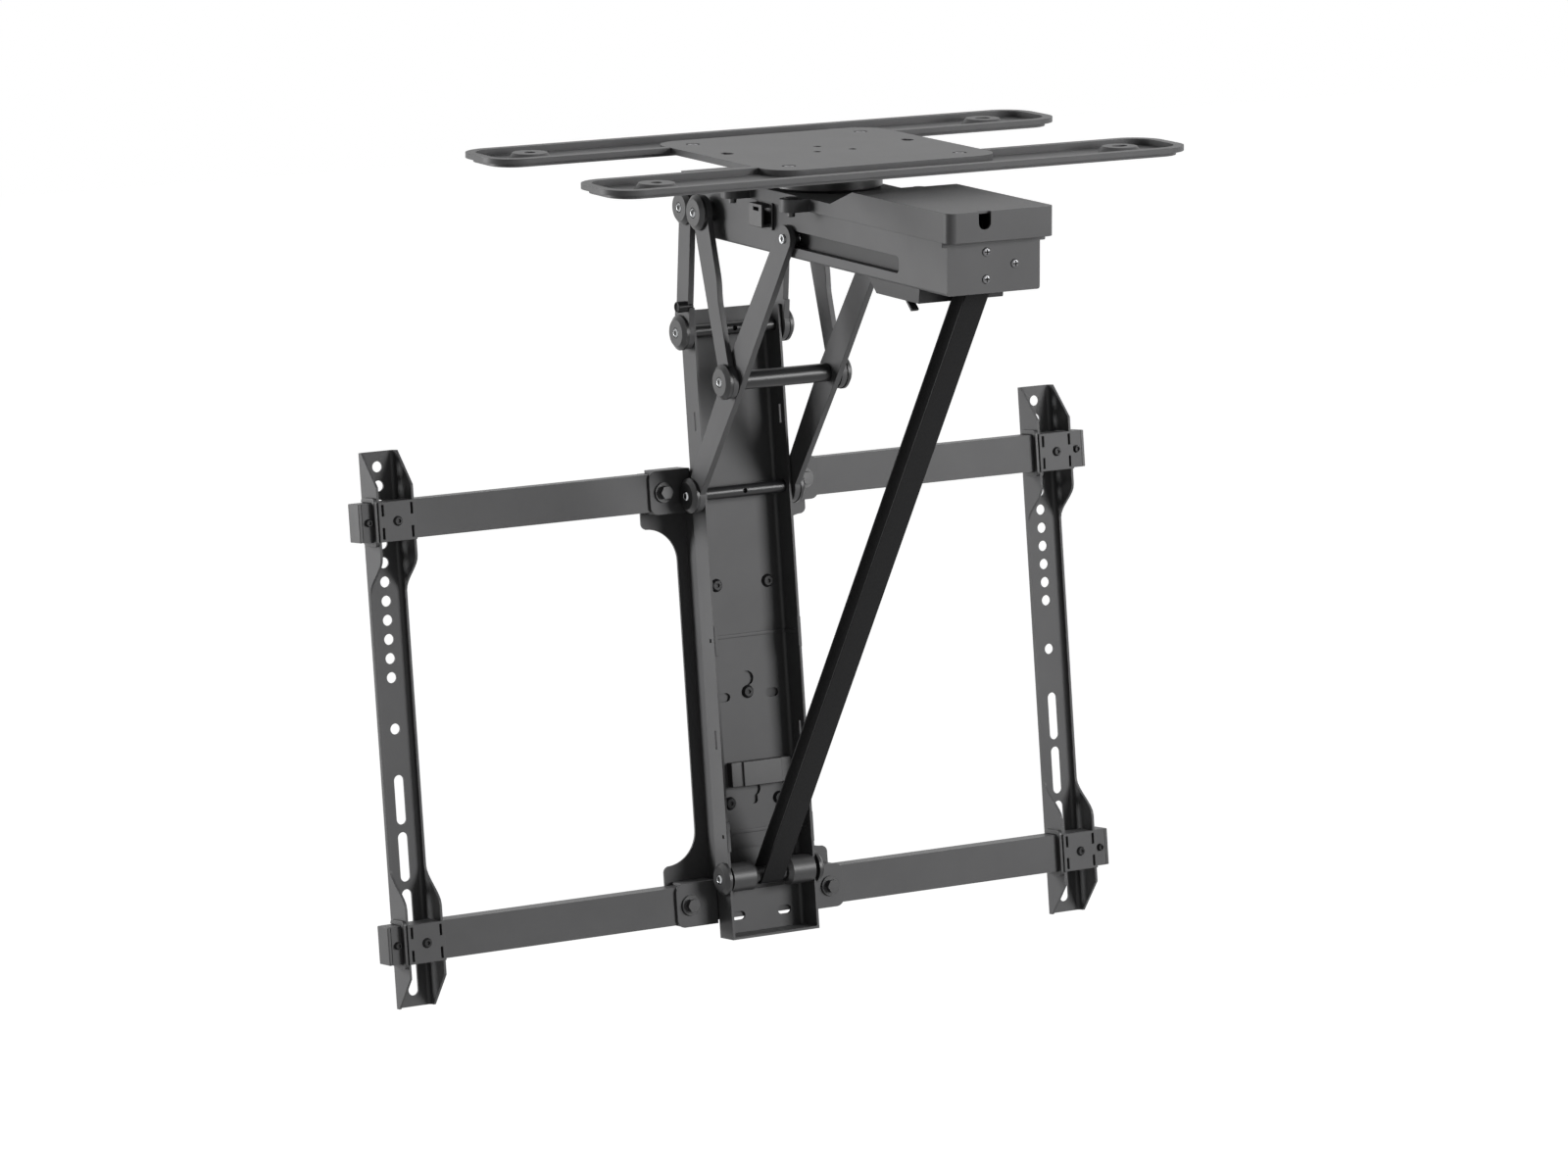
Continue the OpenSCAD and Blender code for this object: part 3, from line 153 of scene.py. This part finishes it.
def mottle(nodes, links, bsdf, grey, shares, scale, detail):
    """A base colour that wanders between two shares of a grey."""
    ramp = nodes.new("ShaderNodeValToRGB")
    for stop, place, share in zip(ramp.color_ramp.elements, TINT_STOPS, shares):
        stop.position = place
        stop.color = (*(share * g for g in grey), 1)
    links.new(noise(nodes, links, scale, detail), ramp.inputs["Fac"])
    links.new(ramp.outputs["Color"], bsdf.inputs["Base Color"])


def bump(nodes, links, bsdf, height, strength, depth):
    """Bump from a height, its depth in metres."""
    node = nodes.new("ShaderNodeBump")
    node.inputs["Strength"].default_value = strength
    node.inputs["Distance"].default_value = depth
    links.new(height, node.inputs["Height"])
    links.new(node.outputs["Normal"], bsdf.inputs["Normal"])


def grain(nodes, links, bsdf, rough, scale, detail, strength, depth):
    """Roughness, between two values, and bump from one fine texture."""
    fine = noise(nodes, links, scale, detail)
    spread = nodes.new("ShaderNodeMapRange")
    spread.inputs["From Min"].default_value = NOISE_MIDDLE[0]
    spread.inputs["From Max"].default_value = NOISE_MIDDLE[1]
    spread.inputs["To Min"].default_value = rough[0]
    spread.inputs["To Max"].default_value = rough[1]
    links.new(fine, spread.inputs["Value"])
    links.new(spread.outputs["Result"], bsdf.inputs["Roughness"])
    bump(nodes, links, bsdf, fine, strength, depth)


def coat_material(name, grey, rough=(0.4, 0.48), gloss=0.2):
    """Powder coat: fine peel in the bump, faint mottling in colour and gloss."""
    mat, nodes, links, bsdf = new_material(name)
    mottle(nodes, links, bsdf, grey, shares=(0.94, 1.06), scale=22.0, detail=4.0)
    grain(nodes, links, bsdf, rough, scale=1500.0, detail=2.0, strength=0.12, depth=0.0002)
    bsdf.inputs["Specular IOR Level"].default_value = gloss
    return mat


def metal_material(name, grey, rough=(0.22, 0.36), scratch=900.0):
    """Plated steel with fine rubbed marks."""
    mat, nodes, links, bsdf = new_material(name)
    mottle(nodes, links, bsdf, grey, shares=(0.85, 1.0), scale=160.0, detail=4.0)
    grain(nodes, links, bsdf, rough, scale=scratch, detail=3.0, strength=0.08, depth=0.0001)
    bsdf.inputs["Metallic"].default_value = 1.0
    return mat


def plastic_material(name, grey, rough=(0.38, 0.5)):
    """Moulded plastic with a fine spark texture."""
    mat, nodes, links, bsdf = new_material(name)
    mottle(nodes, links, bsdf, grey, shares=(0.9, 1.1), scale=60.0, detail=3.0)
    grain(nodes, links, bsdf, rough, scale=2600.0, detail=2.0, strength=0.16, depth=0.0001)
    return mat


def waves(nodes, links, vector, direction, scale, distortion):
    """Straight bands across one axis of the given coordinates."""
    texture = nodes.new("ShaderNodeTexWave")
    texture.bands_direction = direction
    texture.inputs["Scale"].default_value = scale
    texture.inputs["Distortion"].default_value = distortion
    links.new(vector, texture.inputs["Vector"])
    return texture.outputs["Fac"]


def belt_material(name, grey, rough=0.6, gloss=0.12):
    """Flat woven belt: ribs across the strands and cords along them."""
    mat, nodes, links, bsdf = new_material(name)
    coord = nodes.new("ShaderNodeTexCoord")
    turn = nodes.new("ShaderNodeMapping")
    turn.inputs["Rotation"].default_value = (-BELT_ANGLE, 0, 0)
    links.new(coord.outputs["Object"], turn.inputs["Vector"])
    strands = turn.outputs["Vector"]
    weave = nodes.new("ShaderNodeMath")
    weave.operation = "ADD"
    links.new(waves(nodes, links, strands, "Z", scale=260.0, distortion=0.6), weave.inputs[0])
    links.new(waves(nodes, links, strands, "X", scale=210.0, distortion=0.0), weave.inputs[1])
    mottle(nodes, links, bsdf, grey, shares=(0.85, 1.15), scale=500.0, detail=3.0)
    bump(nodes, links, bsdf, weave.outputs["Value"], strength=0.25, depth=0.0001)
    bsdf.inputs["Roughness"].default_value = rough
    bsdf.inputs["Specular IOR Level"].default_value = gloss
    return mat


COAT = coat_material("satin_coat", (0.105, 0.105, 0.107))
# A darker copy of the coat as painted shade: on the inset control box, the roller tracks
# recessed in the slot and the swivel plate under the ceiling plate; the limit lever is dark as
# well
COAT_PAINTED_SHADE = coat_material("satin_coat_painted_shade", (0.04, 0.04, 0.041))
SHAFT = coat_material("shaft_black", (0.016, 0.016, 0.017), (0.3, 0.38), gloss=0.4)
CAP = coat_material("cap_coat", (0.026, 0.026, 0.027), (0.34, 0.42), gloss=0.45)
BLACK_SCREW = coat_material("black_oxide", (0.016, 0.016, 0.017), (0.3, 0.4))
PLASTIC = plastic_material("black_plastic", (0.035, 0.035, 0.036))
ZINC = metal_material("bright_zinc", (0.5, 0.51, 0.52))
DARK_ZINC = metal_material("dark_zinc", (0.16, 0.16, 0.165), (0.3, 0.42))
# Near black: painted shade in the screws' sockets and cross recesses
SOCKET_SHADE = coat_material("socket_painted_shade", (0.008, 0.008, 0.008), (0.5, 0.6))
CAST = metal_material("cast_case", (0.5, 0.51, 0.53), (0.45, 0.6), scratch=400.0)
BELT = belt_material("belt_weave", (0.012, 0.012, 0.0125))

# The nodes that don't have the main coat
MATERIAL_NODES = (
    # Painted shade on the inset box, the tracks in the slot and the swivel plate
    (COAT_PAINTED_SHADE, ("control_box", "limit_lever", "roller_tracks", "swivel_plate")),
    # The swivel post takes the black shaft coat as painted shade beneath the ceiling plate
    (SHAFT, ("arm_cross_tube", "middle_shaft", "pulley_shaft", "swivel_post", "top_shaft")),
    (CAP, ("arm_caps", "clamp_bolts", "column_caps", "link_studs", "rear_link_caps",
           "swivel_bolts")),
    (BLACK_SCREW, ("bar_stop_screws", "bracket_screws_left", "bracket_screws_right",
                   "column_screws", "stop_bolt")),
    (PLASTIC, ("bar_end_caps", "belt_sleeve", "column_clip", "inserts_left", "inserts_right",
               "shaft_spacers", "side_clip", "slot_rollers")),
    (ZINC, ("arm_shaft", "arm_tip_bolts", "gear_motor", "roller_axles")),
    (DARK_ZINC, ("front_screws", "plate_screws")),
    (CAST, ("worm_gearbox",)),
    (BELT, ("belt_inner_run",)),
)
NODE_MATERIALS = {name: mat for mat, names in MATERIAL_NODES for name in names}


# Meshes

WELD_DISTANCE = 0.01
FLAT_ANGLE = math.radians(1)
BEVEL_WIDTH = 0.6
BEVEL_ANGLE = math.radians(32)
BEVEL_SEGMENTS = 2
NORMAL_WEIGHT = 60
LATHE_STEPS = 32
HEX_SIDES = 6
HEX_TURN = 0.3


def soften(obj):
    """Rounds a CAD node's edges by a small bevel, without touching its own mesh."""
    for poly in obj.data.polygons:
        poly.use_smooth = True
    weld = obj.modifiers.new("weld", "WELD")
    weld.merge_threshold = WELD_DISTANCE * MM
    flat = obj.modifiers.new("flat", "DECIMATE")
    flat.decimate_type = "DISSOLVE"
    flat.angle_limit = FLAT_ANGLE
    bevel = obj.modifiers.new("bevel", "BEVEL")
    bevel.width = BEVEL_WIDTH * MM
    bevel.segments = BEVEL_SEGMENTS
    bevel.limit_method = "ANGLE"
    bevel.angle_limit = BEVEL_ANGLE
    bevel.use_clamp_overlap = True
    normals = obj.modifiers.new("normals", "WEIGHTED_NORMAL")
    normals.keep_sharp = False
    normals.weight = NORMAL_WEIGHT


def dress_nodes():
    """Gives every CAD node its material and softened edges."""
    for name, obj in frame["nodes"].items():
        obj.data.materials.clear()
        obj.data.materials.append(NODE_MATERIALS.get(name, COAT))
        soften(obj)


def make_object(name, bm, mat, body, smooth=True):
    """A piece from a bmesh in millimetres, riding on a body."""
    mesh = bpy.data.meshes.new(name)
    bmesh.ops.recalc_face_normals(bm, faces=bm.faces)
    bm.transform(Matrix.Scale(MM, 4))
    bm.to_mesh(mesh)
    bm.free()
    for poly in mesh.polygons:
        poly.use_smooth = smooth
    mesh.materials.append(mat)
    obj = bpy.data.objects.new(name, mesh)
    bpy.context.collection.objects.link(obj)
    if smooth:
        normals = obj.modifiers.new("normals", "WEIGHTED_NORMAL")
        normals.weight = NORMAL_WEIGHT
    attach(obj, body)
    return obj


def basis(axis):
    """A matrix whose Z column is the given direction."""
    z = Vector(axis).normalized()
    upright = abs(z.z) >= 0.9
    x = z.cross(Vector((1, 0, 0))) if upright else z.cross(Vector((0, 0, 1)))
    x.normalize()
    return Matrix((x, z.cross(x), z)).transposed().to_4x4()


def ring(bm, turn, radius, height, steps, start=0.0):
    """A ring of vertices about the Z axis of a matrix."""
    angles = (start + 2 * math.pi * k / steps for k in range(steps))
    return [bm.verts.new(turn @ Vector((radius * math.cos(a), radius * math.sin(a), height)))
            for a in angles]


def lathe(bm, profile, place, axis):
    """Turns (radius, height) pairs about an axis. A radius of 0 closes the end."""
    turn = Matrix.Translation(place) @ basis(axis)
    rings = []
    for radius, height in profile:
        if radius <= 0:
            rings.append([bm.verts.new(turn @ Vector((0, 0, height)))])
        else:
            rings.append(ring(bm, turn, radius, height, LATHE_STEPS))
    for a, b in zip(rings, rings[1:]):
        for k in range(LATHE_STEPS):
            quad = [a[k % len(a)], a[(k + 1) % len(a)], b[(k + 1) % len(b)], b[k % len(b)]]
            quad = [v for i, v in enumerate(quad) if v not in quad[:i]]
            if len(quad) > 2:
                bm.faces.new(quad)


def hex_socket_shade(bm, place, axis, radius, depth):
    """A closed dark prism in a screw head: painted shade for its socket."""
    turn = Matrix.Translation(place) @ basis(axis)
    top, low = (ring(bm, turn, radius, height, HEX_SIDES, HEX_TURN) for height in (0, -depth))
    for k in range(HEX_SIDES):
        after = (k + 1) % HEX_SIDES
        bm.faces.new([top[k], top[after], low[after], low[k]])
    bm.faces.new(low[::-1])
    bm.faces.new(top)


# Socket screws

# The dome as shares of the head's radius and height, and how far it sinks into its seat
DOME_SHARES = ((1.02, 0.0), (0.98, 0.35), (0.86, 0.72), (0.66, 0.95))
HEAD_SINK = 0.8
SOCKET_RIM_SHARE = 1.12
SOCKET_FLOOR_SHARE = 0.86
# The dark hexagon of painted shade in each socket: where its top sits in the head, its size and
# its depth
PLUG_TOP_SHARE = 0.9
PLUG_R_SHARE = 0.94
PLUG_T = 0.6

# The pivot caps: outer faces of what they sit on, in x, then the gap below them by body
INNER_LINKS_OUT = 45.6
OUTER_LINKS_OUT = 51.2
COLUMN_OUT = 39.5
CAPS = {
    "beam": (0.3, ((REAR_TOP, INNER_LINKS_OUT), (FRONT_TOP, OUTER_LINKS_OUT))),
    "lift_arms": (0.4, ((ARM_MID, OUTER_LINKS_OUT),)),
    "rear_links": (0.1, ((REAR_FOOT, INNER_LINKS_OUT),)),
    "column": (0.4, ((ARM_FOOT, INNER_LINKS_OUT), (PULLEY, COLUMN_OUT))),
}
CAP_T = 5.2
CAP_SCREW_SINK = 0.6
CAP_SCREW_R, CAP_SCREW_T, CAP_SOCKET_R = 3.7, 1.5, 2.3
TIP_FACE = 46.1
TIP_SCREW_R, TIP_SCREW_T, TIP_SOCKET_R = 3.6, 1.4, 2.2


def button_screws(name, body, spots, head_r, head_t, socket_r):
    """Domed socket screws: a bright head with a dark hexagon in its middle, painted shade for
    the socket.
    """
    heads, socket_shades = bmesh.new(), bmesh.new()
    profile = [(head_r * DOME_SHARES[0][0], -HEAD_SINK)]
    profile += [(head_r * r_share, t_share * head_t) for r_share, t_share in DOME_SHARES]
    profile += [(socket_r * SOCKET_RIM_SHARE, head_t),
                (socket_r, SOCKET_FLOOR_SHARE * head_t), (0, SOCKET_FLOOR_SHARE * head_t)]
    for place, axis in spots:
        place, axis = Vector(place), Vector(axis)
        lathe(heads, profile, place, axis)
        hex_socket_shade(socket_shades, place + axis * (PLUG_TOP_SHARE * head_t), axis,
                 socket_r * PLUG_R_SHARE, PLUG_T)
    make_object(name, heads, ZINC, body)
    make_object(name + "_socket_shades", socket_shades, SOCKET_SHADE, body, smooth=False)


def both_sides(pivot, face):
    """A spot and its outward direction on either side, at a pivot (y, z)."""
    return [((side * face, *pivot), (side, 0, 0)) for side in SIDES]


def cap_screws():
    """The screws in the middle of the pivot caps and at the lift arms' tips."""
    for body, (gap, caps) in CAPS.items():
        spots = []
        for pivot, out in caps:
            spots += both_sides(pivot, out + gap + CAP_T - CAP_SCREW_SINK)
        button_screws("cap_screws_" + body, body, spots, CAP_SCREW_R, CAP_SCREW_T, CAP_SOCKET_R)
    button_screws("tip_screws", "lift_arms", both_sides(ARM_TIP, TIP_FACE),
                  TIP_SCREW_R, TIP_SCREW_T, TIP_SOCKET_R)


# Crossed screws at the beam's front end

FRONT_FACE_Y = -248.1
FRONT_SCREWS = ((-6.5, -49.0), (18.2, -59.3), (-6.5, -69.4))
PAN_PROFILE = ((3.3, 0), (3.3, 0.5), (3.0, 1.0), (2.2, 1.25), (1.1, 1.35), (0, 1.36))
# The two dark bars of painted shade for each cross: half length, half width and lift off the
# face
CROSS_REACH = 2.2
CROSS_HALF_W = 0.6
CROSS_LIFT = 1.4


def cross_screws():
    """Pan heads, each with two dark bars as painted shade in its cross recess."""
    heads, marks = bmesh.new(), bmesh.new()
    for x, z in FRONT_SCREWS:
        place = Vector((x, FRONT_FACE_Y, z))
        lathe(heads, PAN_PROFILE, place, (0, -1, 0))
        for turn in (0, math.pi / 2):
            dx, dz = math.cos(turn), math.sin(turn)
            corners = []
            for a, b in ((-1, -1), (1, -1), (1, 1), (-1, 1)):
                a, b = a * CROSS_REACH, b * CROSS_HALF_W
                corner = Vector((a * dx - b * dz, -CROSS_LIFT, a * dz + b * dx))
                corners.append(marks.verts.new(place + corner))
            marks.faces.new(corners)
    make_object("front_screw_heads", heads, DARK_ZINC, "beam")
    make_object("front_screw_cross_shade", marks, SOCKET_SHADE, "beam", smooth=False)


# Belt

BELT_W, BELT_T, BELT_EDGE = 20.4, 1.6, 0.35
BELT_WRAP_R = 7.0
BELT_TOP_Z = -79.4
STRAND_STEPS = 40
WRAP_STEPS = 24


def belt_strip(bm, path):
    """Sweeps a flat strip with softened edges along (y, z) points."""
    half, t, e = BELT_W / 2, BELT_T / 2, BELT_EDGE
    section = [(-half, -t + e), (-half + e, -t), (half - e, -t), (half, -t + e),
               (half, t - e), (half - e, t), (-half + e, t), (-half, t - e)]
    rings = []
    for i, point in enumerate(path):
        before, after = path[max(i - 1, 0)], path[min(i + 1, len(path) - 1)]
        run = (after - before).normalized()
        normal = Vector((-run.y, run.x))
        rings.append([bm.verts.new((x, point.x + normal.x * h, point.y + normal.y * h))
                      for x, h in section])
    for a, b in zip(rings, rings[1:]):
        for k in range(len(section)):
            after = (k + 1) % len(section)
            bm.faces.new([a[k], a[after], b[after], b[k]])
    bm.faces.new(rings[0][::-1])
    bm.faces.new(rings[-1])


def lift_belt():
    """The two-strand lift belt round its sleeve, in place of the lift_belt node."""
    along = Vector((-math.sin(BELT_ANGLE), math.cos(BELT_ANGLE)))
    across = Vector((math.cos(BELT_ANGLE), math.sin(BELT_ANGLE)))
    mid = Vector(PULLEY)
    length = (BELT_TOP_Z - mid.y) / math.cos(BELT_ANGLE)
    path = [mid - across * BELT_WRAP_R + along * length * (1 - k / STRAND_STEPS)
            for k in range(STRAND_STEPS + 1)]
    for k in range(1, WRAP_STEPS):
        a = math.pi * k / WRAP_STEPS
        path.append(mid - across * BELT_WRAP_R * math.cos(a) - along * BELT_WRAP_R * math.sin(a))
    path += [mid + across * BELT_WRAP_R + along * length * k / STRAND_STEPS
             for k in range(STRAND_STEPS + 1)]
    bm = bmesh.new()
    belt_strip(bm, path)
    belt = make_object("belt", bm, BELT, "belt")
    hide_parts("lift_belt")
    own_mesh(belt)


dress_nodes()
cap_screws()
cross_screws()
lift_belt()


# Stage and light

FLOOR_HALF = 12.0
FLOOR_Z = -1.75
FLOOR_GREY = 0.2
FLOOR_ROUGHNESS = 0.9
WORLD_ON_OBJECT, WORLD_SEEN = 0.02, 1.0

# Name, place, size in metres and power in watts of each soft lamp
LAMPS = (
    ("left_softbox", (-2.6, 1.9, 0.1), (1.1, 1.4), 95),
    ("key_softbox", (1.9, -2.9, 0.6), (1.4, 1.4), 100),
    ("fill_softbox", (-1.4, -3.4, 0.2), (2.0, 2.0), 5),
    ("top_softbox", (0.5, -0.4, 2.7), (1.6, 1.6), 15),
)
LAMP_TARGET = (0, 0, -0.35)


def seen_directly(nodes, links):
    """1 for camera, glossy and transmission rays, 0 for the rest."""
    path = nodes.new("ShaderNodeLightPath")
    first = nodes.new("ShaderNodeMath")
    first.operation = "MAXIMUM"
    second = nodes.new("ShaderNodeMath")
    second.operation = "MAXIMUM"
    links.new(path.outputs["Is Camera Ray"], first.inputs[0])
    links.new(path.outputs["Is Glossy Ray"], first.inputs[1])
    links.new(first.outputs["Value"], second.inputs[0])
    links.new(path.outputs["Is Transmission Ray"], second.inputs[1])
    return second.outputs["Value"]


def stage():
    """A floor that camera, mirror and glass rays see as white."""
    bm = bmesh.new()
    bm.faces.new([bm.verts.new((x * FLOOR_HALF, y * FLOOR_HALF, 0))
                  for x, y in ((-1, -1), (1, -1), (1, 1), (-1, 1))])
    mesh = bpy.data.meshes.new("floor")
    bm.to_mesh(mesh)
    bm.free()
    floor = bpy.data.objects.new("floor", mesh)
    floor.location = (0, 0, FLOOR_Z)
    bpy.context.collection.objects.link(floor)
    mat, nodes, links, bsdf = new_material("floor_white")
    bsdf.inputs["Base Color"].default_value = (FLOOR_GREY, FLOOR_GREY, FLOOR_GREY, 1)
    bsdf.inputs["Roughness"].default_value = FLOOR_ROUGHNESS
    bsdf.inputs["Specular IOR Level"].default_value = 0.0
    bsdf.inputs["Emission Color"].default_value = (1, 1, 1, 1)
    links.new(seen_directly(nodes, links), bsdf.inputs["Emission Strength"])
    mesh.materials.append(mat)


def world():
    """A world that is white to look at and lights the object faintly."""
    studio = bpy.data.worlds.new("studio")
    bpy.context.scene.world = studio
    studio.use_nodes = True
    nodes, links = studio.node_tree.nodes, studio.node_tree.links
    back = nodes["Background"]
    back.inputs["Color"].default_value = (1, 1, 1, 1)
    strength = nodes.new("ShaderNodeMapRange")
    strength.inputs["To Min"].default_value = WORLD_ON_OBJECT
    strength.inputs["To Max"].default_value = WORLD_SEEN
    links.new(seen_directly(nodes, links), strength.inputs["Value"])
    links.new(strength.outputs["Result"], back.inputs["Strength"])


def area_light(name, place, size, power):
    """A rectangular lamp aimed at the middle of the object."""
    data = bpy.data.lights.new(name, "AREA")
    data.shape = "RECTANGLE"
    data.size, data.size_y = size
    data.energy = power
    lamp = bpy.data.objects.new(name, data)
    place = Vector(place)
    lamp.matrix_world = Matrix.Translation(place) @ basis(place - Vector(LAMP_TARGET))
    bpy.context.collection.objects.link(lamp)


stage()
world()
for lamp_values in LAMPS:
    area_light(*lamp_values)

bpy.context.scene.view_settings.view_transform = "Standard"
